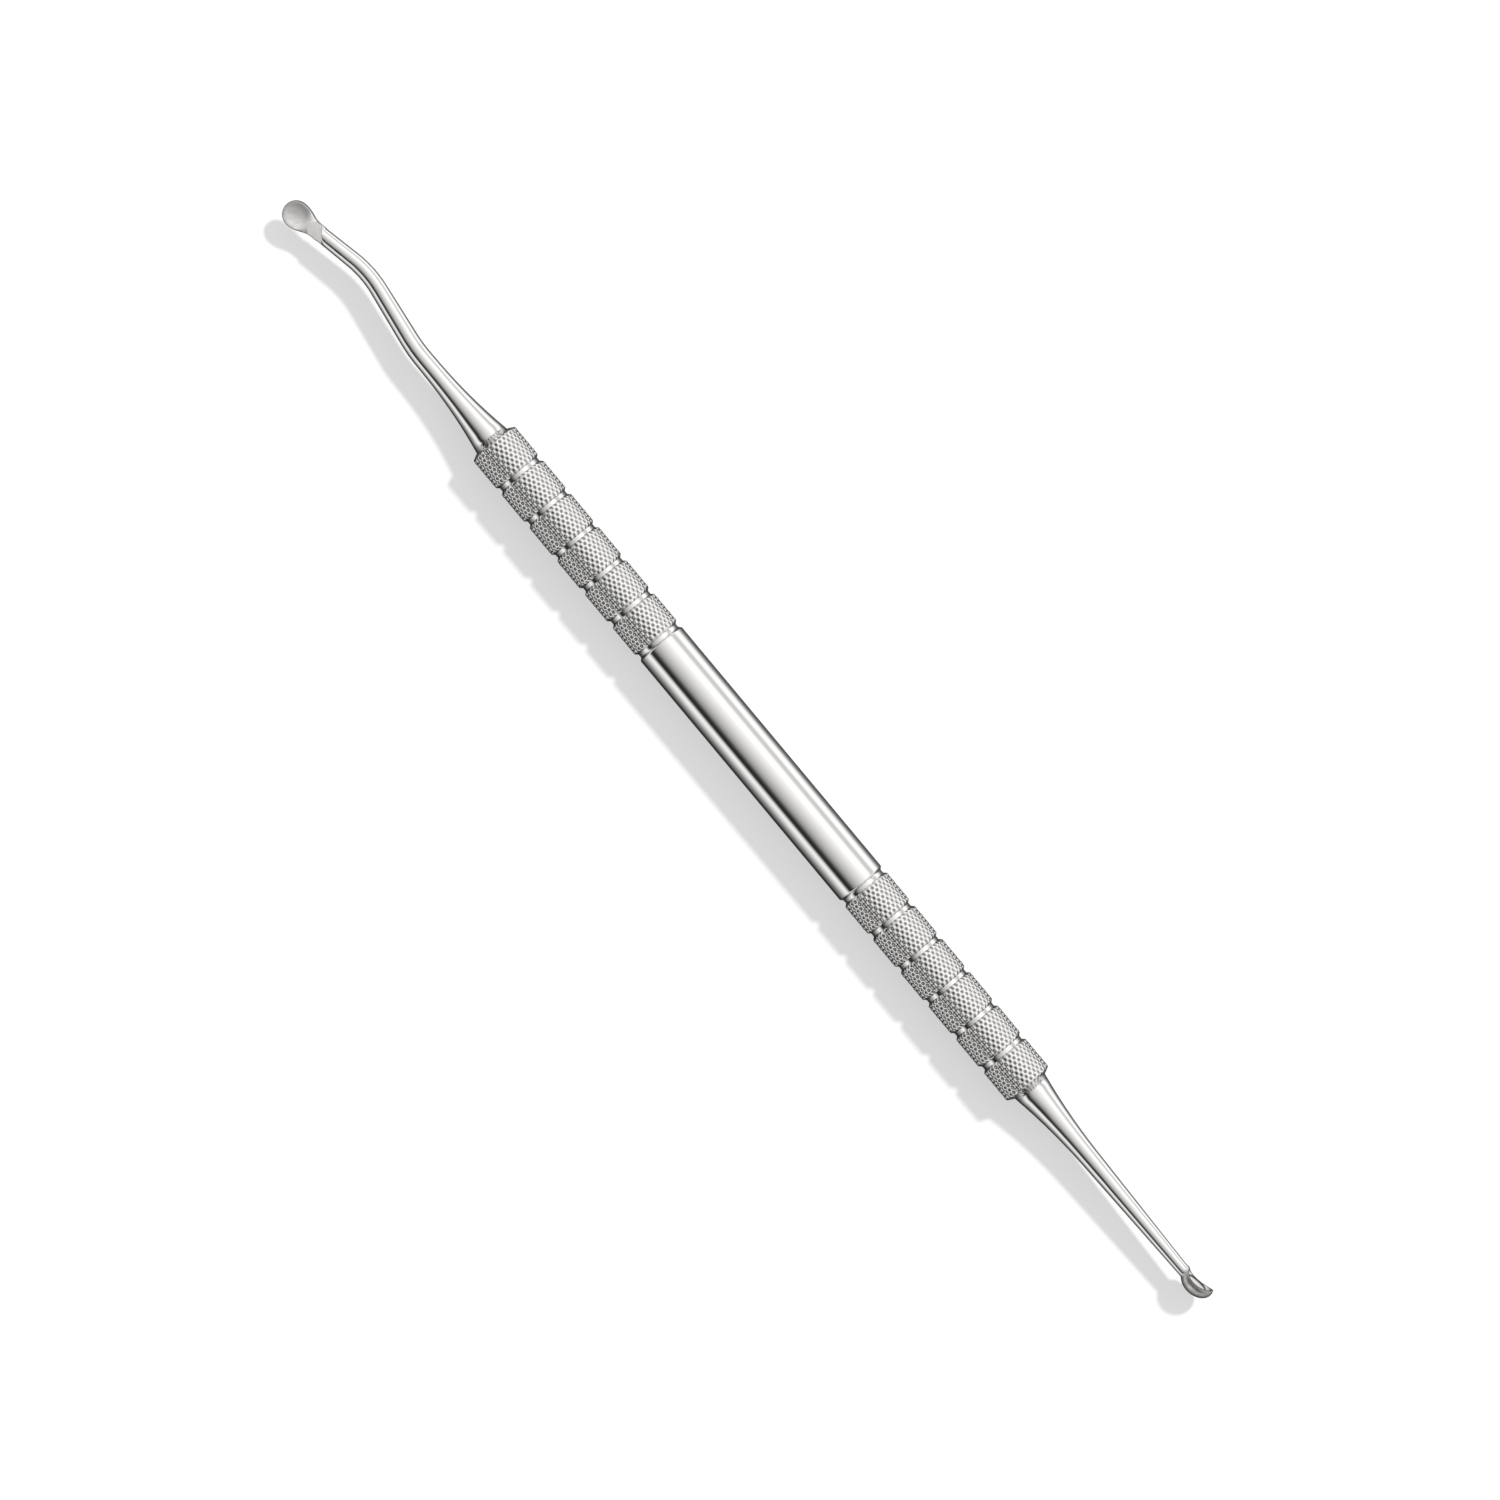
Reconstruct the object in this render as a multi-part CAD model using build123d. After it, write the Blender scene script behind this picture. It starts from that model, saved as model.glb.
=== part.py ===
from build123d import *
import math
import os

# Double-ended cuticle tool in stainless steel: a turned and knurled bar handle with a working tip
# pressed into a socket in each end. One tip is a broad dished pusher on an S-bent shank, the other
# a small deep scoop on a straight shank.
#
# Millimetres. X runs along the handle's axis from the pusher to the scoop, Z is up as the tool lies,
# and the origin is on the axis, halfway along the handle.

# ---- handle: a 6 mm bar with six knurled bands at each end of a plain middle
BAR_RADIUS = 3.0
HANDLE_LENGTH = 94.0
MIDDLE_LENGTH = 35.8        # plain middle, between the centres of the grooves beside it
BANDS_PER_END = 6
KNURL_RISE = 0.05           # how far rolling the knurl lifts its crests above the bar
GROOVE_DEPTH = 0.3          # below the bar's surface
GROOVE_MOUTH = 1.0          # width at the bar's surface
GROOVE_FLOOR = 0.4          # width at the bottom
END_CHAMFER_LENGTH = 0.4    # along the axis
END_FACE_RADIUS = 2.27      # outer radius of the flat left at each end of the handle

# ---- socket and tang: a press fit, with a flat along the tang that lets the trapped air out
TANG_RADIUS = 1.6
TANG_LENGTH = 12.0
TANG_CHAMFER = 0.3
VENT_DEPTH = 0.2
SOCKET_DEPTH = 13.0         # full-diameter depth
DRILL_POINT_ANGLE = 118.0   # included angle of the drilled bottom

# ---- shanks: each flares out to a shoulder that seats on the handle's end face
SHOULDER_RADIUS = 2.2
FLARE_LENGTH = 10.5
FLARE_END_RADIUS = 1.15     # where the flare runs out into the long taper

# ---- pusher tip. Distances out are measured from the handle's end face
PUSHER_NECK_RADIUS = 0.89
FIRST_BEND = (13.4, 0.0)    # (distance out, sideways)
SECOND_BEND = (23.4, 1.48)
FIRST_BEND_RADIUS = 17.0
SECOND_BEND_RADIUS = 13.0
BLADE_SLOPE = 0.2           # sideways per millimetre out, after the second bend
BLADE_TIP = 35.2            # distance out of the blade's end
BLADE_LENGTH = 5.2
BLADE_WIDTH = 3.2
BLADE_WAIST = 1.9           # width a quarter of the way along, where the flanks start to open
BLADE_EDGE = 0.25           # edge thickness
BLADE_TOP = 0.25            # rim height above the shank's centreline
BLADE_DISH_RADIUS = 6.5     # hollow of the upper face
BLADE_BACK_RADIUS = 2.8     # round of the underside
NOSE_LENGTH = 0.6           # how far the shank keeps its roundness past the neck
RIB_LENGTH = 2.8            # beyond that it runs out as a rib down the blade's underside
RIB_END_RADIUS = 0.3
BLADE_ROLL = 10.0           # degrees by which the face leans over to -Y
STEP_SLANT = 38.0           # degrees by which the step at the neck runs across at a slant
STEP_RUN = 0.15             # distance along in which the step climbs by STEP_CLIMB
STEP_CLIMB = 1.0

# ---- scoop tip, drawn with its mouth facing +Y and then rolled up
SCOOP_NECK_RADIUS = 0.68
SCOOP_NECK = 27.6           # distance out of the end of the plain shank
BOWL_CENTRE = (28.9, 0.32)  # (distance out, towards the mouth)
BOWL_HALF_LENGTH = 2.08
BOWL_HALF_WIDTH = 1.5
BOWL_WALL = 0.3
BOWL_TILT = 8.0             # degrees by which the bowl's long axis rises to the tip
THROAT_FILLET = 0.5         # blend of the shank into the bowl
RIM_LOW = (28.2, 0.25)      # lowest point of the rim
RIM_RADIUS = 4.3            # curve of the rim from there up to the tip
HEEL_RADIUS = 1.8           # curve of the rim from there back up to the top of the shank
MOUTH_ROLL = 12.0           # degrees by which the mouth turns up from +Y towards +Z

# ---- worked out
END = HANDLE_LENGTH / 2
BAND_PITCH = (HANDLE_LENGTH - MIDDLE_LENGTH) / 2 / BANDS_PER_END
CREST_RADIUS = BAR_RADIUS + KNURL_RISE
FLOOR_RADIUS = BAR_RADIUS - GROOVE_DEPTH
FLANK_SLOPE = (GROOVE_MOUTH - GROOVE_FLOOR) / 2 / GROOVE_DEPTH
CREST_MOUTH = GROOVE_MOUTH + 2 * KNURL_RISE * FLANK_SLOPE
GROOVE_CENTRES = [MIDDLE_LENGTH / 2 + i * BAND_PITCH for i in range(BANDS_PER_END)]


def half_outline():
    """Outline (x, radius) of the handle from its middle to the +X end face."""
    points = [(0, BAR_RADIUS)]
    for i, centre in enumerate(GROOVE_CENTRES):
        inner_radius = BAR_RADIUS if i == 0 else CREST_RADIUS
        inner_mouth = GROOVE_MOUTH if i == 0 else CREST_MOUTH
        points += [
            (centre - inner_mouth / 2, inner_radius),
            (centre - GROOVE_FLOOR / 2, FLOOR_RADIUS),
            (centre + GROOVE_FLOOR / 2, FLOOR_RADIUS),
            (centre + CREST_MOUTH / 2, CREST_RADIUS),
        ]
    points += [(END - END_CHAMFER_LENGTH, CREST_RADIUS), (END, END_FACE_RADIUS)]
    return points


def socket():
    """Drilled hole in the +X end: full diameter, then the drill's cone."""
    point_length = TANG_RADIUS / math.tan(math.radians(DRILL_POINT_ANGLE / 2))
    bottom = END - SOCKET_DEPTH
    profile = Polyline(
        (END, 0), (END, TANG_RADIUS), (bottom, TANG_RADIUS), (bottom - point_length, 0), close=True
    )
    return revolve(make_face(profile), Axis.X)


def handle():
    """Turned bar with its grooves and end chamfers, drilled from both ends."""
    right = half_outline()
    left = [(-x, radius) for x, radius in reversed(right[1:])]
    outline = Polyline((-END, 0), *left, *right, (END, 0), close=True)
    bar = revolve(make_face(outline), Axis.X)
    drilled = socket()
    return bar - drilled - mirror(drilled, Plane.YZ)


def tang():
    """Peg that fills the socket in the +X end, inwards of the handle's end face."""
    inner_end = END - TANG_LENGTH
    profile = Polyline(
        (END, 0),
        (END, TANG_RADIUS),
        (inner_end + TANG_CHAMFER, TANG_RADIUS),
        (inner_end, TANG_RADIUS - TANG_CHAMFER),
        (inner_end, 0),
        close=True,
    )
    peg = revolve(make_face(profile), Axis.X)
    vent = Pos(inner_end, 0, TANG_RADIUS) * Box(2 * TANG_LENGTH, 2 * TANG_RADIUS, 2 * VENT_DEPTH)
    return peg - vent


def flare(neck_radius, neck):
    """Start of a shank, out of the +X end face: an arc that runs tangent into the taper beyond."""
    start = (END + FLARE_LENGTH, FLARE_END_RADIUS)
    run_in = (FLARE_LENGTH - neck, FLARE_END_RADIUS - neck_radius)
    arc = TangentArc(start, (END, SHOULDER_RADIUS), tangent=run_in)
    closing = Polyline(arc @ 1, (END, 0), (END + FLARE_LENGTH, 0), start)
    return revolve(make_face(Curve() + [arc, closing]), Axis.X)


def straight_taper(neck_radius, neck):
    """Straight shank from the end of the flare to its neck."""
    length = neck - FLARE_LENGTH
    cone = Cone(FLARE_END_RADIUS, neck_radius, length)
    return Pos(END + FLARE_LENGTH + length / 2, 0, 0) * Rot(0, 90, 0) * cone


def pusher_route():
    """Centreline of the pusher's shank, from the end of its flare to the blade's neck."""
    neck = BLADE_TIP - BLADE_LENGTH
    neck_side = SECOND_BEND[1] - BLADE_SLOPE * (neck - SECOND_BEND[0])
    corners = [(FLARE_LENGTH, 0), FIRST_BEND, SECOND_BEND, (neck, neck_side)]
    return FilletPolyline(
        *[(END + out, side) for out, side in corners],
        radius=[FIRST_BEND_RADIUS, SECOND_BEND_RADIUS],
    )


def teardrop():
    """The blade's outline in its own frame: the neck at the origin, a half-round end along +X."""
    half_width = BLADE_WIDTH / 2
    round_centre = BLADE_LENGTH - half_width
    shoulder = (round_centre, half_width)
    neck = (0, PUSHER_NECK_RADIUS)
    flank = Spline(neck, (BLADE_LENGTH / 4, BLADE_WAIST / 2), shoulder, tangents=[(1, 0), (1, 0)])
    end = ThreePointArc(shoulder, (BLADE_LENGTH, 0), (round_centre, -half_width))
    return make_face(Curve() + [flank, end, mirror(flank, Plane.XZ), Line((0, -neck[1]), neck)])


def shank_end():
    """The shank's run-out, in the blade's frame: round past the neck, then a rib down the back."""
    nose = Pos(NOSE_LENGTH / 2, 0, 0) * Rot(0, 90, 0) * Cylinder(PUSHER_NECK_RADIUS, NOSE_LENGTH)
    rib = Pos(NOSE_LENGTH + RIB_LENGTH / 2, 0, 0) * Rot(0, 90, 0) * Cone(
        PUSHER_NECK_RADIUS, RIB_END_RADIUS, RIB_LENGTH
    )
    return nose + rib


def over_blade():
    """What is ground off above the blade, from the step at the neck out past the tip."""
    profile = Polyline(
        (0, BLADE_TOP),
        (-STEP_RUN, BLADE_TOP + STEP_CLIMB),
        (2 * BLADE_LENGTH, BLADE_TOP + STEP_CLIMB),
        (2 * BLADE_LENGTH, BLADE_TOP),
        close=True,
    )
    return Rot(0, 0, -STEP_SLANT) * extrude(Plane.XZ * make_face(profile), BLADE_LENGTH, both=True)


def blade():
    """Dished plate with a round underside, in its own frame."""
    half_width = BLADE_WIDTH / 2
    round_centre = BLADE_LENGTH - half_width
    plate = Pos(0, 0, BLADE_TOP) * extrude(teardrop(), -BLADE_WIDTH)
    back_z = BLADE_TOP - BLADE_EDGE + math.sqrt(BLADE_BACK_RADIUS**2 - half_width**2)
    trough = Rot(0, 90, 0) * Cylinder(BLADE_BACK_RADIUS, 2 * round_centre)
    rounded = Pos(round_centre, 0, back_z) * Sphere(BLADE_BACK_RADIUS) + Pos(0, 0, back_z) * trough
    return plate & rounded


def dish():
    """Ball that hollows the blade's face and just reaches its sides and tip."""
    half_width = BLADE_WIDTH / 2
    depth_z = BLADE_TOP + math.sqrt(BLADE_DISH_RADIUS**2 - half_width**2)
    return Pos(BLADE_LENGTH - half_width, 0, depth_z) * Sphere(BLADE_DISH_RADIUS)


def pusher_end():
    """Tang, flare, S-bent tapering shank and dished blade, at the -X end of the handle."""
    route = pusher_route()
    flare_end = Plane(origin=route @ 0, z_dir=route % 0)
    neck = Plane(origin=route @ 1, z_dir=route % 1)
    sections = [flare_end * Circle(FLARE_END_RADIUS), neck * Circle(PUSHER_NECK_RADIUS)]
    bent = sweep(sections, path=route, multisection=True)
    place = Plane(origin=route @ 1, x_dir=route % 1, z_dir=(0, 0, 1)).location * Rot(BLADE_ROLL, 0, 0)
    start = flare(PUSHER_NECK_RADIUS, FLARE_LENGTH + route.length)
    shank = start + bent + place * shank_end() - place * over_blade()
    return mirror(tang() + shank + place * blade() - place * dish(), Plane.YZ)


def bowl(inset):
    """The scoop's bowl as a whole egg shape, drawn in by inset."""
    half_width = BOWL_HALF_WIDTH - inset
    egg = scale(Sphere(1), by=(BOWL_HALF_LENGTH - inset, half_width, half_width))
    return Pos(END + BOWL_CENTRE[0], BOWL_CENTRE[1]) * Rot(0, 0, BOWL_TILT) * egg


def over_rim():
    """All that is cut away over the bowl's rim, from the heel to beyond the tip."""
    low_x = END + RIM_LOW[0]
    low_y = RIM_LOW[1]
    heel = CenterArc((low_x, low_y + HEEL_RADIUS), HEEL_RADIUS, 180, 90)
    rise = CenterArc((low_x, low_y + RIM_RADIUS), RIM_RADIUS, -90, 60)
    top = low_y + RIM_RADIUS
    beyond_tip = (rise @ 1).X
    closing = Polyline(rise @ 1, (beyond_tip, top), (low_x - HEEL_RADIUS, top), heel @ 0)
    return extrude(make_face(Curve() + [heel, rise, closing]), 2 * BOWL_HALF_WIDTH, both=True)


def scoop_end():
    """Tang, flare, straight tapering shank and hollow bowl, at the +X end of the handle."""
    shank = flare(SCOOP_NECK_RADIUS, SCOOP_NECK) + straight_taper(SCOOP_NECK_RADIUS, SCOOP_NECK)
    joined = shank + bowl(0)
    bowl_start = END + BOWL_CENTRE[0] - BOWL_HALF_LENGTH
    throat = joined.edges().filter_by_position(Axis.X, bowl_start, END + SCOOP_NECK)
    tip = fillet(throat, THROAT_FILLET) - over_rim() - bowl(BOWL_WALL)
    return tang() + Rot(MOUTH_ROLL, 0, 0) * tip


PARTS = {
    "handle": handle,
    "pusher_end": pusher_end,
    "scoop_end": scoop_end,
}


if __name__ == "__main__":
    os.makedirs("parts", exist_ok=True)
    for node, make in PARTS.items():
        solid = make().solid()
        export_step(solid, f"parts/{node}.step")
        box = solid.bounding_box()
        print(f"{node}: {solid.volume:.2f} mm3, valid {solid.is_valid}, {box.min} to {box.max}")
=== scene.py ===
# %% [markdown]
# # A double-ended cuticle tool in polished and knurled stainless steel
#
# The tool is a 6 mm steel bar with a small working tip pressed into each end. Twelve rolled knurl
# bands give the fingers grip, and nearly all the rest is polished until it works like a mirror. A mirror
# has no look of its own: what it shows is the studio, so the studio is as much a part of this lesson
# as the metal.
#
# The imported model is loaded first. Everything after it is in metres, in the model's own frame: X
# runs along the handle from the pusher to the scoop, and Z is up.

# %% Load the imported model
import math

import bmesh
import bpy
from mathutils import Matrix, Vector
from mathutils.geometry import intersect_point_line


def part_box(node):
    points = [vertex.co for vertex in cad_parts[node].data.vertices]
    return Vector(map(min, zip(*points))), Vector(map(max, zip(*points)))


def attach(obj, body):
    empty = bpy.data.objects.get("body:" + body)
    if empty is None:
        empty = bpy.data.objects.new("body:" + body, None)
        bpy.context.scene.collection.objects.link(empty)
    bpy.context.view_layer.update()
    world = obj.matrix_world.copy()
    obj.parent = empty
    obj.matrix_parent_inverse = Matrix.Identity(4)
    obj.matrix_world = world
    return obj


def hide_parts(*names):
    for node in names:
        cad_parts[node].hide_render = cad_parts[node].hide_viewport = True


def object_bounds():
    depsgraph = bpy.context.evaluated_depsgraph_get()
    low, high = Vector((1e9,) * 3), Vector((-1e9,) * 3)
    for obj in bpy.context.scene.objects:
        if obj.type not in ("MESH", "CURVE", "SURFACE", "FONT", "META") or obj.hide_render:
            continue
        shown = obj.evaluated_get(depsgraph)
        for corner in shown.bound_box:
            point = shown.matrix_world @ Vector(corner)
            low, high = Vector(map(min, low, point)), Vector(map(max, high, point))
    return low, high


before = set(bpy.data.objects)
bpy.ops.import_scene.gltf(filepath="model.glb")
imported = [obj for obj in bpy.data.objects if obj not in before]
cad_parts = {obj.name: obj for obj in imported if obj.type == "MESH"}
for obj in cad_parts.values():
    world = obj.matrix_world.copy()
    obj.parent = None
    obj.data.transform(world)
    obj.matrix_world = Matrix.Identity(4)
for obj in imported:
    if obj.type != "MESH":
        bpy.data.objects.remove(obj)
cad_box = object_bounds()
MM = 0.001
print("packed pieces:", sorted(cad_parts))
print("overall length in mm:", round((cad_box[1].x - cad_box[0].x) / MM, 2))

# %% [markdown]
# ## Sizes
#
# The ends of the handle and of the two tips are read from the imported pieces, so the detailed pieces
# land exactly where the plain ones are. The rest are the turner's own sizes: the bar, the grooves
# cut into it, and the crests that the knurling wheels raise.

# %% Sizes of the handle
handle_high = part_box("handle")[1]
handle_end = handle_high.x
bar_radius = 3.0 * MM
crest_radius = handle_high.z
groove_floor_radius = 2.7 * MM
groove_floor_width = 0.4 * MM
groove_mouth_width = 1.0 * MM
first_groove = 17.9 * MM
bands_per_end = 6
band_pitch = (handle_end - first_groove) / bands_per_end
print("band pitch in mm:", round(band_pitch / MM, 3))

# %% [markdown]
# ## Camera
#
# A long lens straight above the tool keeps the two ends the same size, as a catalogue picture does.
# The camera is turned so that the handle lies across the picture from the top left to the lower
# right.

# %% Camera
CAMERA_TURN = math.radians(50.17)
FRAMING_SHIFT_X = 0.129 * MM
FRAMING_SHIFT_Y = 0.04 * MM
tool_middle = (cad_box[0].x + cad_box[1].x) / 2
view_width = 167.97 * MM
camera_data = bpy.data.cameras.new("camera")
camera_data.sensor_width = 36.0
camera_data.lens = 200.0
camera_data.clip_end = 100.0
camera_height = view_width * camera_data.lens / camera_data.sensor_width
camera = bpy.data.objects.new("camera", camera_data)
camera.location = (tool_middle + FRAMING_SHIFT_X, FRAMING_SHIFT_Y, camera_height)
camera.rotation_euler = (0.0, 0.0, CAMERA_TURN)
bpy.context.scene.collection.objects.link(camera)
bpy.context.scene.camera = camera
print("camera height in mm:", round(camera_height / MM, 1))

# %% [markdown]
# ## Nodes and colours
#
# Every finish below is a small network of nodes. One function adds a node, sets what it is given
# and makes its links. Another turns a colour as painters write it into the linear numbers that a
# shader works with.

# %% Helpers for finishes
def add(tree, kind, inputs=None, stops=None, **settings):
    """Adds a node. inputs maps a socket's name or number to a value or to another node's output."""
    made = tree.nodes.new(kind)
    for name, value in settings.items():
        setattr(made, name, value)
    for socket, value in (inputs or {}).items():
        if isinstance(value, bpy.types.NodeSocket):
            tree.links.new(value, made.inputs[socket])
        else:
            made.inputs[socket].default_value = value
    if stops:
        ramp = made.color_ramp
        while len(ramp.elements) < len(stops):
            ramp.elements.new(1.0)
        for element, (position, brightness) in zip(ramp.elements, stops):
            element.position = position
            element.color = (brightness, brightness, brightness, 1.0)
    return made


def linear(hex_colour):
    """An sRGB colour such as C8C9CB as a linear colour with full opacity."""
    parts = [int(hex_colour[i:i + 2], 16) / 255 for i in (0, 2, 4)]
    return tuple(p / 12.92 if p <= 0.04045 else ((p + 0.055) / 1.055) ** 2.4 for p in parts) + (1.0,)


def new_finish(name):
    """An empty material, its node tree and its shader."""
    material = bpy.data.materials.new(name)
    material.use_nodes = True
    tree = material.node_tree
    return material, tree, tree.nodes["Principled BSDF"]


print("a mid grey, 808080, as linear light:", round(linear("808080")[0], 3))

# %% [markdown]
# ## Studio
#
# A polished cylinder shows the room as stripes along its length, one for each direction round its
# axis. The room could be modelled as real boxes and cards, but it is quicker to draw it in the same
# way as the metal shows it, by its angle round the handle's axis: nought is straight up, and a
# positive angle leans to +Y. Soft boxes are bright, black cards are dark, and the metal carries both
# as clean lines. Towards the two ends of the room the stripes fade into a plain grey wall, which
# gives the metal something to show when it is seen end on.

# %% Studio round the tool
# Each stop is a place in the room, its angle in degrees and its brightness.
STUDIO = (
    ("floor, behind the tool", -180.0, 0.03),
    ("floor edge, -Y side", -136.0, 0.05),
    ("low wall, -Y side", -111.0, 0.36),
    ("low soft box, -Y side", -80.0, 1.22),
    ("its upper edge", -72.0, 1.0),
    ("black card, lower edge", -61.0, 0.06),
    ("black card", -53.0, 0.02),
    ("black card, upper edge", -44.0, 0.08),
    ("dim ceiling", -30.0, 0.42),
    ("ceiling", -17.0, 0.64),
    ("overhead", 0.0, 0.88),
    ("bright ceiling", 26.0, 1.24),
    ("main soft box", 42.0, 1.6),
    ("its edge", 53.0, 1.4),
    ("gap between boxes, start", 64.0, 0.85),
    ("gap between boxes, end", 75.0, 0.8),
    ("side soft box", 90.0, 1.5),
    ("its lower edge", 104.0, 1.35),
    ("low wall, +Y side", 124.0, 0.4),
    ("floor edge, +Y side", 137.0, 0.15),
    ("floor, past the edge", 180.0, 0.05),
)
world = bpy.data.worlds.new("studio")
world.use_nodes = True
bpy.context.scene.world = world
sky = world.node_tree
direction = add(sky, "ShaderNodeTexCoord").outputs["Generated"]
axes = add(sky, "ShaderNodeSeparateXYZ", {"Vector": direction})
turn = add(sky, "ShaderNodeMath", {0: axes.outputs["Y"], 1: axes.outputs["Z"]}, operation="ARCTAN2")
share = add(
    sky, "ShaderNodeMapRange", {"Value": turn.outputs[0], "From Min": -math.pi, "From Max": math.pi}
)
stripes = add(
    sky,
    "ShaderNodeValToRGB",
    {"Fac": share.outputs["Result"]},
    stops=[((angle + 180.0) / 360.0, brightness) for _, angle, brightness in STUDIO],
)
along = add(sky, "ShaderNodeMath", {0: axes.outputs["X"]}, operation="ABSOLUTE")
END_WALL_SHARE = 0.65
END_WALL_GREY = (0.7, 0.7, 0.7, 1.0)
end_wall = add(
    sky,
    "ShaderNodeMapRange",
    {"Value": along.outputs[0], "From Min": 0.65, "From Max": 0.95, "To Max": END_WALL_SHARE},
)
room = add(
    sky,
    "ShaderNodeMix",
    {0: end_wall.outputs["Result"], 6: stripes.outputs["Color"], 7: END_WALL_GREY},
    data_type="RGBA",
)
sky.links.new(room.outputs[2], sky.nodes["Background"].inputs["Color"])
print("stops in the studio:", len(STUDIO))

# %% [markdown]
# ## Floor, backdrop and key light
#
# The floor is a sheet of white card that the tool rests on, lit a little from below like a light
# table. A plain white card would do, but it grows dark wherever something lies close over it. The
# glow keeps the shadow an even pale grey right up to the metal. The metal doesn't see the card, which
# keeps the dark lines along the tool's edges. The backdrop is only there for the camera, as a white
# wall behind a low view.

# %% Floor
def stage_object(name, bm, material):
    """Makes a mesh that isn't part of the tool."""
    mesh = bpy.data.meshes.new(name)
    bm.to_mesh(mesh)
    bm.free()
    mesh.materials.append(material)
    made = bpy.data.objects.new(name, mesh)
    bpy.context.scene.collection.objects.link(made)
    return made


# Pressed card is matt and even. Its own glow gives the white, and its grey base takes the shadow.
CARD_GLOW = 0.56
FLOOR_HALF_WIDTH = 3.0
floor_height = cad_box[0].z
card, _, card_shader = new_finish("white_card_smooth_calendered")
card_shader.inputs["Base Color"].default_value = linear("7C7C7C")
card_shader.inputs["Emission Color"].default_value = linear("FFFFFF")
card_shader.inputs["Emission Strength"].default_value = CARD_GLOW
card_shader.inputs["Roughness"].default_value = 0.9
card_shader.inputs["Specular IOR Level"].default_value = 0.0
floor_mesh = bmesh.new()
bmesh.ops.create_grid(floor_mesh, x_segments=1, y_segments=1, size=FLOOR_HALF_WIDTH)
bmesh.ops.translate(floor_mesh, verts=floor_mesh.verts, vec=(0.0, 0.0, floor_height))
floor = stage_object("floor", floor_mesh, card)
floor.visible_glossy = False
print("floor height in mm:", round(floor_height / MM, 3))

# %% Backdrop
# A painted wall under even light has no shape of its own: it is white wherever it is seen.
WALL_RADIUS = 8.0
wall, _, wall_shader = new_finish("white_wall_evenly_lit")
wall_shader.inputs["Base Color"].default_value = linear("000000")
wall_shader.inputs["Emission Color"].default_value = linear("FFFFFF")
wall_shader.inputs["Emission Strength"].default_value = 1.0
wall_mesh = bmesh.new()
bmesh.ops.create_uvsphere(wall_mesh, u_segments=48, v_segments=24, radius=WALL_RADIUS)
backdrop = stage_object("backdrop", wall_mesh, wall)
for ray in ("diffuse", "glossy", "transmission", "volume_scatter", "shadow"):
    setattr(backdrop, "visible_" + ray, False)
print("backdrop radius in m:", WALL_RADIUS)

# %% [markdown]
# ## Key light
#
# One lamp stands high on the +Y side and throws the tool's shadow to the other side. A sun is used
# because it comes from one direction everywhere, so both ends of a long tool have the same shadow,
# and its width on the sky sets how soft the shadow's edge is. The metal doesn't mirror it, because
# the studio above already holds every light that the metal shows.

# %% Key light
KEY_LEAN = math.radians(43.5)
key = bpy.data.lights.new("key", "SUN")
key.energy = 7.0
key.angle = math.radians(5.0)
key_light = bpy.data.objects.new("key", key)
key_light.rotation_euler = (-KEY_LEAN, 0.0, 0.0)
key_light.visible_glossy = False
bpy.context.scene.collection.objects.link(key_light)
bpy.context.scene.view_settings.view_transform = "Standard"
print("key light leans, in degrees:", round(math.degrees(KEY_LEAN), 1))

# %% [markdown]
# ## Buffed steel
#
# Stainless steel is one metal with several surfaces here. The bar and the shanks are buffed on a
# cloth wheel. A metal's colour is its reflection's colour, so the base is a bright, faintly warm
# grey, and the rest is roughness. A single roughness would look like chrome plate. Slow changes of
# haze and hair-fine polishing lines round the bar make it a buffed bar.

# %% Buffed steel
# Gives the eye sharp stripes with slightly soft edges, a little hazier in some places than in others.
# The polishing lines are drawn coarser than real ones, which are too fine to show.
BUFFED_TONE = "DFDEDD"
POLISHING_LINE = 0.05 * MM
HAZE_WIDTH = 4.0 * MM
buffed, tree, shader = new_finish("stainless_steel_buffed_to_a_mirror")
shader.inputs["Metallic"].default_value = 1.0
shader.inputs["Base Color"].default_value = linear(BUFFED_TONE)
place = add(tree, "ShaderNodeTexCoord").outputs["Object"]
haze = add(tree, "ShaderNodeTexNoise", {"Vector": place, "Scale": 1 / HAZE_WIDTH, "Detail": 4.0})
gloss = add(
    tree,
    "ShaderNodeMapRange",
    {"Value": haze.outputs[0], "From Min": 0.3, "From Max": 0.7, "To Min": 0.05, "To Max": 0.09},
)
tree.links.new(gloss.outputs[0], shader.inputs["Roughness"])
stretched = add(tree, "ShaderNodeMapping", {"Vector": place, "Scale": (1.0, 0.04, 0.04)})
lines = add(
    tree,
    "ShaderNodeTexNoise",
    {"Vector": stretched.outputs[0], "Scale": 1 / POLISHING_LINE, "Detail": 3.0},
)
relief = add(
    tree,
    "ShaderNodeBump",
    {"Height": lines.outputs[0], "Strength": 0.05, "Distance": 0.002 * MM},
)
tree.links.new(relief.outputs[0], shader.inputs["Normal"])
print(buffed.name, "has nodes:", len(tree.nodes))
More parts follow.
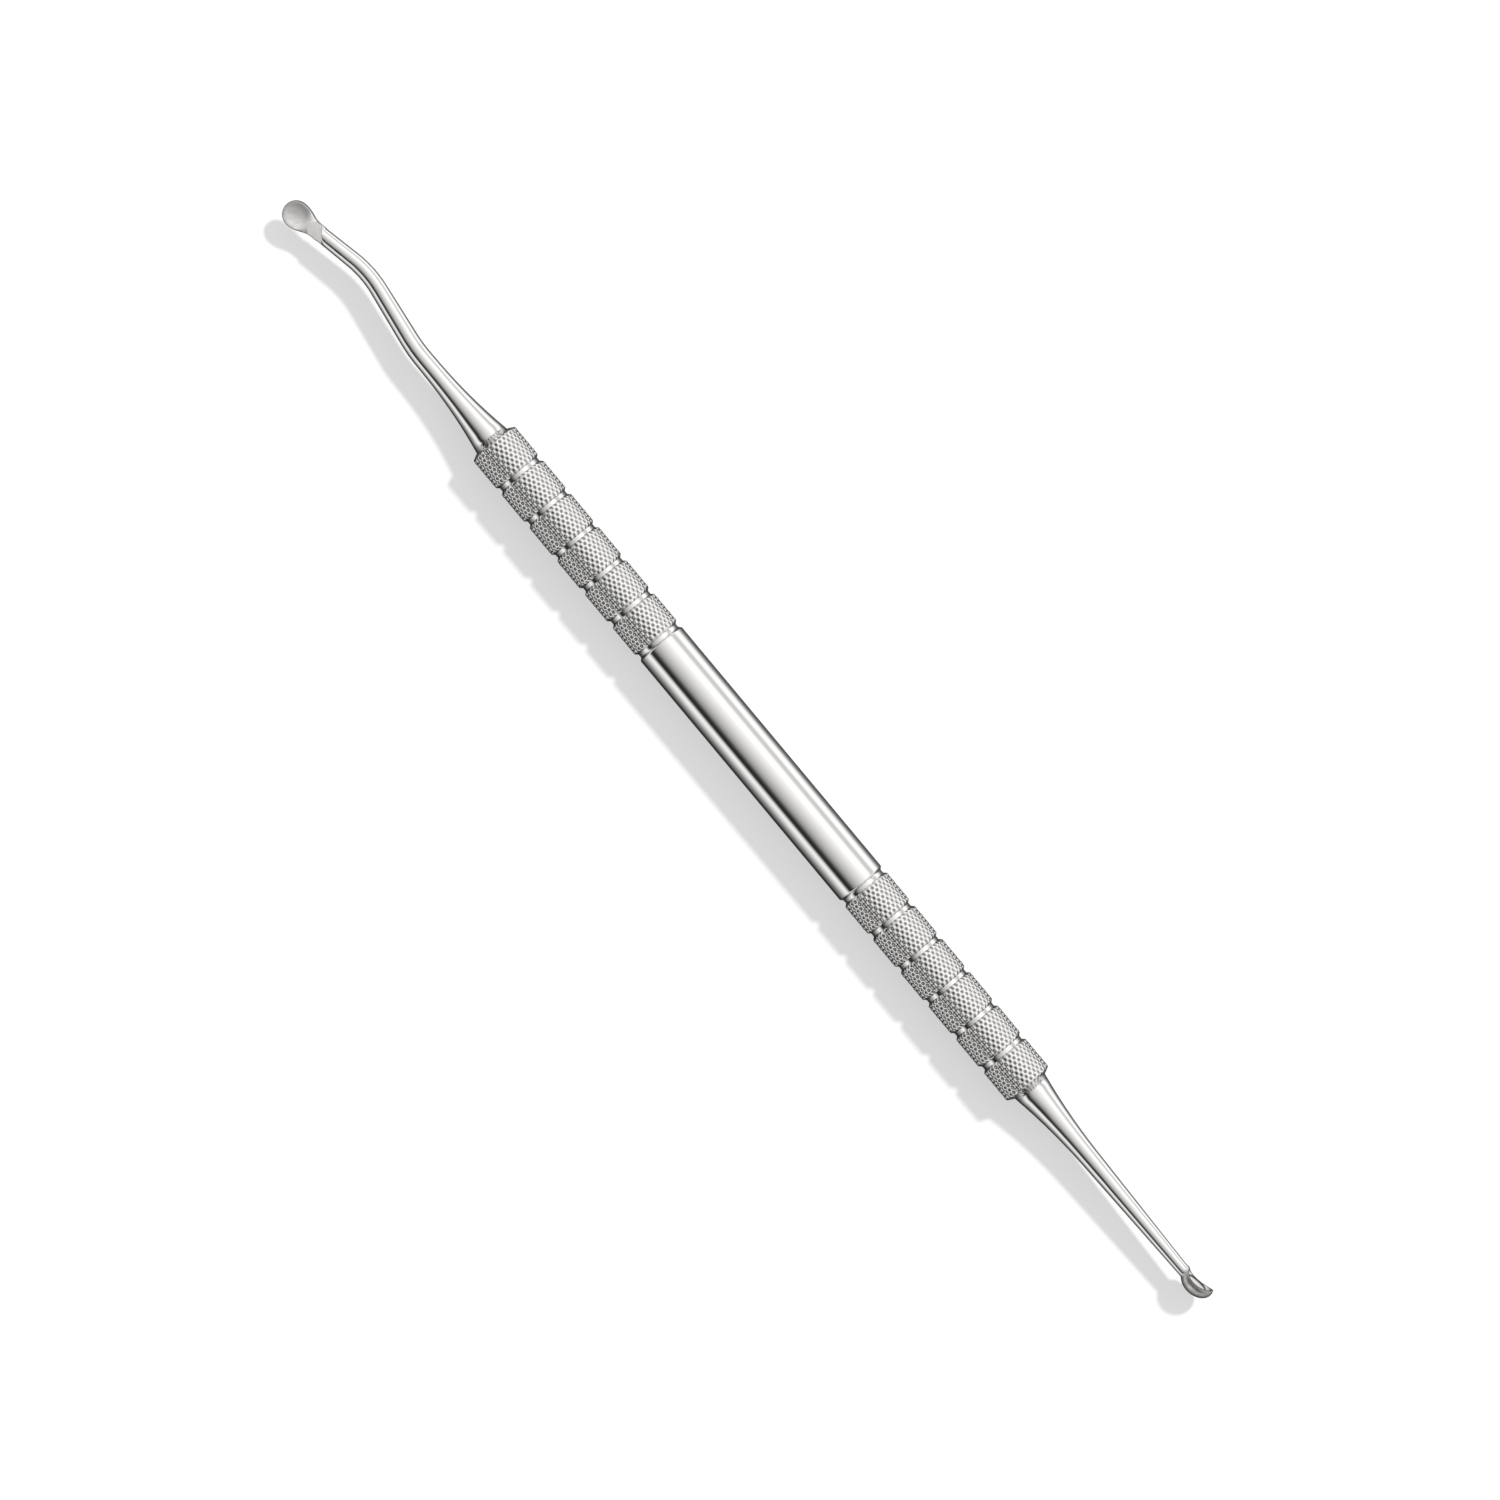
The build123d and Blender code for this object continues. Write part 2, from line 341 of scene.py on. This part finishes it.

# %% [markdown]
# ## Knurled steel
#
# The knurl is rolled and then tumbled, so its crests are as bright as the bar, and its pits keep some
# of the polishing paste. Their darkening is part that paste and part painted shade in the hollows.
# The pits could be picked out by the angle of each face, but that marks their sides and not their
# floors. The knurl's mesh stores how deep each point lies, and the material darkens the metal by that.

# %% Rolled knurl steel
# Gives the eye a net of bright crests with a dark pit in each mesh of it, the pits darkened partly by
# paste and partly as painted shade. The marks of the tumbling stones are drawn coarser than real ones,
# so that they show.
DEPTH_ATTRIBUTE = "knurl_depth"
CREST_TONE = "E2E1E0"
PIT_TONE = "868584"
KNURL_GRIT = 0.12 * MM
knurled, tree, shader = new_finish("stainless_steel_rolled_knurl_tumbled_bright")
shader.inputs["Metallic"].default_value = 1.0
shader.inputs["Roughness"].default_value = 0.08
depth = add(tree, "ShaderNodeAttribute", attribute_name=DEPTH_ATTRIBUTE)
# Darkens the pits by depth: part polishing paste, part painted shade in the hollows.
pit_paste_and_painted_shade = add(
    tree,
    "ShaderNodeMapRange",
    {"Value": depth.outputs["Fac"], "From Min": 0.1, "From Max": 0.75},
    interpolation_type="SMOOTHSTEP",
)
tone = add(
    tree,
    "ShaderNodeMix",
    {0: pit_paste_and_painted_shade.outputs[0], 6: linear(CREST_TONE), 7: linear(PIT_TONE)},
    data_type="RGBA",
)
tree.links.new(tone.outputs[2], shader.inputs["Base Color"])
place = add(tree, "ShaderNodeTexCoord").outputs["Object"]
grit = add(tree, "ShaderNodeTexNoise", {"Vector": place, "Scale": 1 / KNURL_GRIT, "Detail": 3.0})
relief = add(
    tree, "ShaderNodeBump", {"Height": grit.outputs[0], "Strength": 0.15, "Distance": 0.01 * MM}
)
tree.links.new(relief.outputs[0], shader.inputs["Normal"])
print(knurled.name, "has nodes:", len(tree.nodes))

# %% [markdown]
# ## Satin-ground steel
#
# The pusher's face is ground on a fine wheel, which leaves it a cloudy satin: the scratches spread
# the reflection, so it has tones but no stripes. Its colour is painted darker at the tip and brighter
# towards the neck, a painted shade and painted light across the dished face. One cloudy noise, raised
# along the face by that ramp, drives both the tone and the roughness, because on real steel the two
# change together.

# %% Satin-ground steel
# Gives the eye a soft cloudy grey at the tip that clears to a bright satin at the neck: painted shade
# at the tip, painted light at the neck. The grit is drawn at 0.11 mm, coarser than a fine wheel's, so
# that it shows.
SATIN_DARK = "A09E9D"
SATIN_BRIGHT = "FFFDFC"
GRIT = 0.11 * MM
CLOUD_WIDTH = 0.5 * MM
TIP_SHADE_LENGTH = 4.5 * MM
CLOUD_SHARE = 0.7
pusher_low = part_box("pusher_end")[0]
satin, tree, shader = new_finish("stainless_steel_satin_ground_with_painted_shade")
shader.inputs["Metallic"].default_value = 1.0
place = add(tree, "ShaderNodeTexCoord").outputs["Object"]
cloud = add(
    tree,
    "ShaderNodeTexNoise",
    {"Vector": place, "Scale": 1 / CLOUD_WIDTH, "Detail": 5.0, "Roughness": 0.7},
)
axes = add(tree, "ShaderNodeSeparateXYZ", {"Vector": place})
# Painted shade and light: the face's colour brightens along X from the tip to the neck.
painted_neck_light = add(
    tree,
    "ShaderNodeMapRange",
    {
        "Value": axes.outputs["X"],
        "From Min": pusher_low.x,
        "From Max": pusher_low.x + TIP_SHADE_LENGTH,
    },
)
# The random cloud, raised by the painted ramp from a shaded tip to a lit neck.
cloud_and_painted_light_ramp = add(
    tree,
    "ShaderNodeMath",
    {0: cloud.outputs[0], 1: CLOUD_SHARE, 2: painted_neck_light.outputs[0]},
    operation="MULTIPLY_ADD",
)
tone = add(
    tree,
    "ShaderNodeMix",
    {0: cloud_and_painted_light_ramp.outputs[0], 6: linear(SATIN_DARK), 7: linear(SATIN_BRIGHT)},
    data_type="RGBA",
)
tree.links.new(tone.outputs[2], shader.inputs["Base Color"])
dullness = add(
    tree,
    "ShaderNodeMapRange",
    {"Value": cloud_and_painted_light_ramp.outputs[0], "From Min": 0.2, "From Max": 1.4, "To Min": 0.46, "To Max": 0.2},
)
tree.links.new(dullness.outputs[0], shader.inputs["Roughness"])
grit = add(tree, "ShaderNodeTexNoise", {"Vector": place, "Scale": 1 / GRIT, "Detail": 4.0})
relief = add(
    tree, "ShaderNodeBump", {"Height": grit.outputs[0], "Strength": 0.6, "Distance": 0.02 * MM}
)
tree.links.new(relief.outputs[0], shader.inputs["Normal"])
print(satin.name, "has nodes:", len(tree.nodes))

# %% [markdown]
# ## Edge of the blade
#
# A pusher's rim must not cut, so it is rounded by hand on a stone. That leaves it duller than the
# face inside it, and its colour is painted darker, as painted shade on the edge that turns from the
# light. It could be part of the satin, but a finish of its own lets it follow the rim exactly, on the
# thin band of faces that is made for it further down.

# %% Stoned edge of the blade, with a painted dark line of shade
# Gives the eye the thin dark line that draws the blade's outline, a painted shade. The stone's
# scratches are drawn coarser than real ones, which are too fine to show.
RIM_PAINTED_SHADE = "5E5C5A"
SCRATCH_WIDTH = 0.06 * MM
stoned_edge_and_shade, tree, shader = new_finish("stainless_steel_stoned_edge_with_painted_shade")
shader.inputs["Metallic"].default_value = 1.0
shader.inputs["Base Color"].default_value = linear(RIM_PAINTED_SHADE)
place = add(tree, "ShaderNodeTexCoord").outputs["Object"]
scratches = add(tree, "ShaderNodeTexNoise", {"Vector": place, "Scale": 1 / SCRATCH_WIDTH, "Detail": 3.0})
dullness = add(
    tree,
    "ShaderNodeMapRange",
    {"Value": scratches.outputs[0], "To Min": 0.25, "To Max": 0.45},
)
tree.links.new(dullness.outputs[0], shader.inputs["Roughness"])
print(stoned_edge_and_shade.name, "has nodes:", len(tree.nodes))

# %% [markdown]
# ## Hand-ground scoop
#
# The scoop is forged with its shank and then ground by hand, which blends one finish into the other
# with no line between them. Two materials on two sets of faces would leave a line. One material that
# fades along X, from where the bowl begins, doesn't.

# %% Buffed shank that fades into hand-ground steel at the scoop
# Gives the eye a mirror on the shank that breaks up into grey patches on the bowl.
BOWL_PATCH_TONE = "868483"
BOWL_CLOUD_WIDTH = 0.45 * MM
FADE_FROM = 4.6 * MM
FADE_TO = 3.2 * MM
scoop_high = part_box("scoop_end")[1]
fade_start = scoop_high.x - FADE_FROM
fade_stop = scoop_high.x - FADE_TO
hand_ground, tree, shader = new_finish("stainless_steel_buffed_and_hand_ground_at_the_bowl")
shader.inputs["Metallic"].default_value = 1.0
place = add(tree, "ShaderNodeTexCoord").outputs["Object"]
axes = add(tree, "ShaderNodeSeparateXYZ", {"Vector": place})
cloud = add(
    tree,
    "ShaderNodeTexNoise",
    {"Vector": place, "Scale": 1 / BOWL_CLOUD_WIDTH, "Detail": 5.0, "Roughness": 0.7},
)
ground = add(
    tree,
    "ShaderNodeMapRange",
    {"Value": axes.outputs["X"], "From Min": fade_start, "From Max": fade_stop},
    interpolation_type="SMOOTHSTEP",
)
patchy = add(
    tree, "ShaderNodeMath", {0: ground.outputs[0], 1: cloud.outputs[0]}, operation="MULTIPLY"
)
dullness = add(
    tree, "ShaderNodeMapRange", {"Value": patchy.outputs[0], "To Min": 0.07, "To Max": 0.6}
)
tree.links.new(dullness.outputs[0], shader.inputs["Roughness"])
tone = add(
    tree,
    "ShaderNodeMix",
    {0: patchy.outputs[0], 6: linear(BUFFED_TONE), 7: linear(BOWL_PATCH_TONE)},
    data_type="RGBA",
)
tree.links.new(tone.outputs[2], shader.inputs["Base Color"])
relief = add(
    tree,
    "ShaderNodeBump",
    {"Height": cloud.outputs[0], "Strength": ground.outputs[0], "Distance": 0.02 * MM},
)
tree.links.new(relief.outputs[0], shader.inputs["Normal"])
print(hand_ground.name, "fades over, in mm:", round((fade_stop - fade_start) / MM, 2))

# %% [markdown]
# ## Turning a bar
#
# The bar is turned on a lathe, which makes a shape that is the same all the way round. Blender's spin
# does the same to a chain of edges. A stack of cylinders would also do, but it leaves inner faces to
# clean up. The profile is drawn once, from the middle of the handle to its end, and mirrored. It has
# only the plain middle and the floors of the grooves, because the knurled bands are sleeves that go
# over it.

# %% Helpers for pieces
FULL_TURN = 2 * math.pi
ROUND_STEPS = 128
X_AXIS = (1.0, 0.0, 0.0)
POLE_TOLERANCE = 0.0001 * MM


def lathe(profile, steps=ROUND_STEPS):
    """Spins a chain of (x, radius) points round the X axis."""
    bm = bmesh.new()
    verts = [bm.verts.new((x, 0.0, radius)) for x, radius in profile]
    edges = [bm.edges.new(pair) for pair in zip(verts, verts[1:])]
    bmesh.ops.spin(
        bm,
        geom=verts + edges,
        cent=(0.0, 0.0, 0.0),
        axis=X_AXIS,
        angle=FULL_TURN,
        steps=steps,
        use_merge=True,
    )
    bmesh.ops.remove_doubles(bm, verts=bm.verts, dist=POLE_TOLERANCE)
    bmesh.ops.recalc_face_normals(bm, faces=bm.faces)
    return bm


def piece(name, bm, node_name, materials, crease=35.0):
    """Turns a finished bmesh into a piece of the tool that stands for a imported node."""
    mesh = bpy.data.meshes.new(name)
    bm.to_mesh(mesh)
    bm.free()
    for material in materials:
        mesh.materials.append(material)
    mesh.shade_smooth()
    mesh.set_sharp_from_angle(angle=math.radians(crease))
    made = bpy.data.objects.new(name, mesh)
    bpy.context.scene.collection.objects.link(made)
    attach(made, "root")
    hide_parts(node_name)
    print(name, "has", len(mesh.polygons), "faces")
    return made


print("steps round the bar:", ROUND_STEPS)

# %% Handle bar
CORNER_ROUNDING = 0.08 * MM
RING_TOLERANCE = 0.01 * MM
CORE_GAP = 0.02 * MM
CORE_TAPER_LENGTH = 1.0 * MM
CORE_TAPER_DEPTH = 0.5 * MM
groove_half = groove_mouth_width / 2
floor_half = groove_floor_width / 2
corner_places = (first_groove - groove_half, first_groove - floor_half)
core_end = handle_end - CORE_GAP
half_profile = [
    (corner_places[0], bar_radius),
    (corner_places[1], groove_floor_radius),
    (core_end - CORE_TAPER_LENGTH, groove_floor_radius),
    (core_end, groove_floor_radius - CORE_TAPER_DEPTH),
    (core_end, 0.0),
]
profile = [(-x, radius) for x, radius in reversed(half_profile)] + half_profile
bar = lathe(profile)
corner_rings = [
    edge
    for edge in bar.edges
    if all(
        any(abs(abs(v.co.x) - corner) < RING_TOLERANCE for corner in corner_places)
        for v in edge.verts
    )
    and abs(edge.verts[0].co.x - edge.verts[1].co.x) < RING_TOLERANCE
]
bmesh.ops.bevel(
    bar,
    geom=corner_rings,
    offset=CORNER_ROUNDING,
    offset_type="OFFSET",
    segments=3,
    profile=0.5,
    affect="EDGES",
    material=-1,
)
piece("handle_bar", bar, "handle", [buffed])

# %% [markdown]
# ## Knurled bands
#
# A knurl is rolled by two hard wheels whose teeth lean opposite ways, and the metal that they push
# up between their tracks stands as a net of crossing ridges with a pit in each mesh. A bump in the
# material could fake it, but then the outline would be smooth. It is easiest to model flat. A fine
# grid is lowered into a pit wherever the waves of both wheels are low together, and sheared until its
# squares are the knurl's diamonds. The sheet is cut to the band, and only then is it rolled up.

# %% Flat knurl sheet
STARTS = 30
KNURL_DEPTH = 0.135 * MM
RIDGE_BREADTH = 1.7
PARTS_PER_DIAMOND = 6
SPARE_SHEET = 0.5 * MM
CUT_TOLERANCE = 0.0005 * MM
diamond_half_round = math.pi * bar_radius / STARTS
diamond_half_long = 0.494 * MM
unrolled_width = FULL_TURN * bar_radius
bands_middle = (first_groove + handle_end) / 2
half_reach = (handle_end - first_groove) / 2 + SPARE_SHEET
cells_each_way = math.ceil((half_reach / diamond_half_long + STARTS) / 2) + 1


def knurl_sheet():
    """A flat sheet of ridges and pits. Its z is the radius that each point will have."""
    bm = bmesh.new()
    segments = 2 * cells_each_way * PARTS_PER_DIAMOND
    bmesh.ops.create_grid(bm, x_segments=segments, y_segments=segments, size=cells_each_way)
    depth_layer = bm.verts.layers.float.new(DEPTH_ATTRIBUTE)
    for vert in bm.verts:
        waves = math.sin(math.pi * vert.co.x) ** 2 + math.sin(math.pi * vert.co.y) ** 2
        depth = (1.0 - waves / 2.0) ** RIDGE_BREADTH
        vert[depth_layer] = depth
        vert.co.z = crest_radius - KNURL_DEPTH * depth
    shear = Matrix(
        (
            (diamond_half_long, diamond_half_long, 0.0, bands_middle),
            (diamond_half_round, -diamond_half_round, 0.0, unrolled_width / 2),
            (0.0, 0.0, 1.0, 0.0),
            (0.0, 0.0, 0.0, 1.0),
        )
    )
    bmesh.ops.transform(bm, matrix=shear, verts=bm.verts)
    for edge_y, clear in ((0.0, "inner"), (unrolled_width, "outer")):
        cut(bm, (0.0, edge_y, 0.0), (0.0, 1.0, 0.0), clear)
    return bm


def cut(bm, point, normal, clear):
    """Cuts a sheet with a plane and drops the part on one side of it."""
    bmesh.ops.bisect_plane(
        bm,
        geom=bm.verts[:] + bm.edges[:] + bm.faces[:],
        dist=CUT_TOLERANCE,
        plane_co=point,
        plane_no=normal,
        clear_inner=clear == "inner",
        clear_outer=clear == "outer",
    )


sheet = knurl_sheet()
print("flat knurl sheet has", len(sheet.faces), "faces")

# %% [markdown]
# ## Rolling the bands up
#
# Each band slopes down into its grooves at both sides, at 45 degrees. It could be rolled first and
# then turned down, as on the real bar, but a slanting flat plane is a simpler cut than a cone, and it
# comes to the same once the sheet is rolled. The outermost band ends in the bar's own chamfer. Every
# band gets an inner wall, so that it is a closed sleeve, and a half turn makes the other end's.

# %% Cut a band, give it flanks and roll it up
SEAT_OVERLAP = 0.03 * MM
TOUCHING = 0.001 * MM
END_CHAMFER = 0.4 * MM
END_FACE_RADIUS = 2.27 * MM
END_SEAT_RADIUS = 2.1 * MM
seat_radius = groove_floor_radius - SEAT_OVERLAP
chamfer_fall = (crest_radius - END_FACE_RADIUS) / END_CHAMFER


def open_edges(bm):
    """Boundary edges that aren't on the seam where the sheet will meet itself."""
    return [
        e
        for e in bm.edges
        if e.is_boundary
        and not all(v.co.y < TOUCHING for v in e.verts)
        and not all(v.co.y > unrolled_width - TOUCHING for v in e.verts)
    ]


def rolled_band(index):
    """One knurled sleeve at the +X end, its flanks sloping down into the grooves."""
    bm = sheet.copy()
    start = first_groove + index * band_pitch + floor_half
    stop = first_groove + (index + 1) * band_pitch - floor_half
    is_last = index == bands_per_end - 1
    cut(bm, (start, 0.0, groove_floor_radius), (1.0, 0.0, -1.0), "inner")
    if is_last:
        for vert in bm.verts:
            vert.co.z -= max(0.0, vert.co.x - handle_end + END_CHAMFER) * chamfer_fall
        cut(bm, (handle_end, 0.0, 0.0), X_AXIS, "outer")
    else:
        cut(bm, (stop, 0.0, groove_floor_radius), (1.0, 0.0, 1.0), "outer")
    middle = (start + stop) / 2
    made = bmesh.ops.extrude_edge_only(bm, edges=open_edges(bm))
    for vert in (v for v in made["geom"] if isinstance(v, bmesh.types.BMVert)):
        if vert.co.x < middle:
            vert.co = (start, vert.co.y, seat_radius)
        elif is_last:
            vert.co = (handle_end, vert.co.y, END_SEAT_RADIUS)
        else:
            vert.co = (stop, vert.co.y, seat_radius)
    for vert in bm.verts:
        x, along_sheet, radius = vert.co
        turn = along_sheet / bar_radius
        vert.co = (x, radius * math.sin(turn), radius * math.cos(turn))
    bmesh.ops.remove_doubles(bm, verts=bm.verts, dist=TOUCHING)
    bmesh.ops.bridge_loops(bm, edges=[e for e in bm.edges if e.is_boundary])
    bmesh.ops.recalc_face_normals(bm, faces=bm.faces)
    return bm


print("seat radius of the bands in mm:", round(seat_radius / MM, 2))

# %% Twelve bands
KNURL_CREASE = 70.0
half_turn = Matrix.Rotation(math.pi, 4, "Z")
for index in range(bands_per_end):
    band = rolled_band(index)
    opposite = band.copy()
    bmesh.ops.transform(opposite, matrix=half_turn, verts=opposite.verts)
    for side, sleeve in (("scoop", band), ("pusher", opposite)):
        band_name = f"knurl_{side}_side_{index + 1}"
        piece(band_name, sleeve, "handle", [knurled], crease=KNURL_CREASE)
sheet.free()

# %% [markdown]
# ## Tools for the two tips
#
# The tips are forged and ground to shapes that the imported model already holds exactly, so they aren't
# modelled again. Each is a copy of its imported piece, with its loose triangles joined, so that its
# faces can be picked out and given finishes. A ground surface is found as a fitter would feel it: all
# that can be reached from one place without crossing an edge.

# %% Helpers for the tips
MERGE_DISTANCE = 0.0005 * MM
GROUND_CREASE = math.radians(28.0)


def packed_copy(node_name):
    """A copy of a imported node's mesh with its loose triangles joined."""
    bm = bmesh.new()
    bm.from_mesh(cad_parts[node_name].data)
    bmesh.ops.remove_doubles(bm, verts=bm.verts, dist=MERGE_DISTANCE)
    return bm


def smooth_patch(bm, start, crease):
    """The faces that can be reached from one face without crossing a sharp edge."""
    found = {start}
    waiting = [start]
    while waiting:
        face = waiting.pop()
        for edge in face.edges:
            if edge.is_manifold and edge.calc_face_angle() < crease:
                for other in edge.link_faces:
                    if other not in found:
                        found.add(other)
                        waiting.append(other)
    return found


def off_edge(vert, edge):
    """How far a vertex is from an edge."""
    near, share = intersect_point_line(vert.co, edge.verts[0].co, edge.verts[1].co)
    near = edge.verts[0].co.lerp(edge.verts[1].co, min(1.0, max(0.0, share)))
    return (vert.co - near).length


def even_shading(made):
    """Lets large faces lead the shading, so a long shank reflects in clean lines."""
    weighted = made.modifiers.new("even_shading", "WEIGHTED_NORMAL")
    weighted.keep_sharp = True


print("an edge is sharper than, in degrees:", round(math.degrees(GROUND_CREASE), 1))

# %% [markdown]
# ## Pusher tip
#
# The pusher is a small dished blade that pushes the cuticle back. Its face and the slanting step
# behind it are ground, its rim is stoned, and its shank is buffed. The face is the patch that holds
# the largest upward facet near the blade's middle. Then the rim gets a thin band of its own, by an
# inset, and the band's outer side is lowered. A bevel would do the same, but it clamps on the many
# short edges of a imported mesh. Corners that crowd the rim are dissolved first, so that the inset
# doesn't fold over them.

# %% Faces of the pusher
BLADE_MIDDLE = 1.7 * MM
BLADE_SEARCH = 0.5 * MM
STEP_START = 3.0 * MM
STEP_STOP = 6.5 * MM
FACING_TIP = -0.5
SATIN_FACE = 1
pusher = packed_copy("pusher_end")
is_ground = pusher.faces.layers.int.new("ground_face")


def from_tip(face):
    """How far along the pusher a face lies, from the very tip."""
    return face.calc_center_median().x - pusher_low.x


blade_face = max(
    (f for f in pusher.faces if abs(from_tip(f) - BLADE_MIDDLE) < BLADE_SEARCH),
    key=lambda f: f.normal.z * f.calc_area(),
)
ground_faces = smooth_patch(pusher, blade_face, GROUND_CREASE)
step_faces = {
    f for f in pusher.faces if f.normal.x < FACING_TIP and STEP_START < from_tip(f) < STEP_STOP
}
for face in ground_faces | step_faces:
    face.material_index = SATIN_FACE
for face in ground_faces:
    face[is_ground] = 1
print("ground faces on the pusher:", len(ground_faces), "and its step:", len(step_faces))

# %% Rim of the blade
RIM_WIDTH = 0.07 * MM
RIM_DROP = 0.03 * MM
CROWDING = 1.3
STONED_AND_SHADED_FACE = 2
rim = [
    e
    for e in pusher.edges
    if e.is_manifold and sum(f in ground_faces for f in e.link_faces) == 1
]
rim_verts = {v for e in rim for v in e.verts}
inner_verts = {v for f in ground_faces for v in f.verts} - rim_verts
crowded = [
    v
    for v in pusher.verts
    if v in inner_verts and min(off_edge(v, e) for e in rim) < CROWDING * RIM_WIDTH
]
bmesh.ops.dissolve_verts(pusher, verts=crowded)
print("crowded corners cleared from the rim:", len(crowded), "of", len(inner_verts))
rim_band = bmesh.ops.inset_region(
    pusher,
    faces=[f for f in pusher.faces if f[is_ground]],
    thickness=RIM_WIDTH,
    use_boundary=True,
    use_even_offset=True,
)["faces"]
outer_verts = {
    v
    for f in rim_band
    for v in f.verts
    if any(o not in rim_band and not o[is_ground] for o in v.link_faces)
}
for vert in outer_verts:
    vert.co.z -= RIM_DROP
# The rim band, except beside the step, gets the painted dark line of shade.
for face in rim_band:
    beside_step = any(o in step_faces for e in face.edges for o in e.link_faces)
    if not beside_step:
        face.material_index = STONED_AND_SHADED_FACE
pusher_tip = piece("pusher_tip", pusher, "pusher_end", [buffed, satin, stoned_edge_and_shade])
even_shading(pusher_tip)

# %% [markdown]
# ## Scoop tip
#
# The scoop is a small deep bowl that lifts away what the pusher has loosened. Its outside is ground
# by hand. Its inside is too small for a wheel, and could be polished with a felt point, so it is
# given the buffed finish. The inside is the smooth patch that holds the facet turned most to +Y on
# the bowl's -Y wall.

# %% Scoop tip
BOWL_MIDDLE = 2.1 * MM
BOWL_SEARCH = 0.4 * MM
POLISHED_FACE = 1
scoop = packed_copy("scoop_end")
bowl_wall = max(
    (
        f
        for f in scoop.faces
        if abs(scoop_high.x - f.calc_center_median().x - BOWL_MIDDLE) < BOWL_SEARCH
    ),
    key=lambda f: f.normal.y * (f.calc_center_median().y < 0.0),
)
inside_faces = smooth_patch(scoop, bowl_wall, GROUND_CREASE)
for face in inside_faces:
    face.material_index = POLISHED_FACE
print("faces inside the bowl:", len(inside_faces))
scoop_tip = piece("scoop_tip", scoop, "scoop_end", [hand_ground, buffed])
even_shading(scoop_tip)
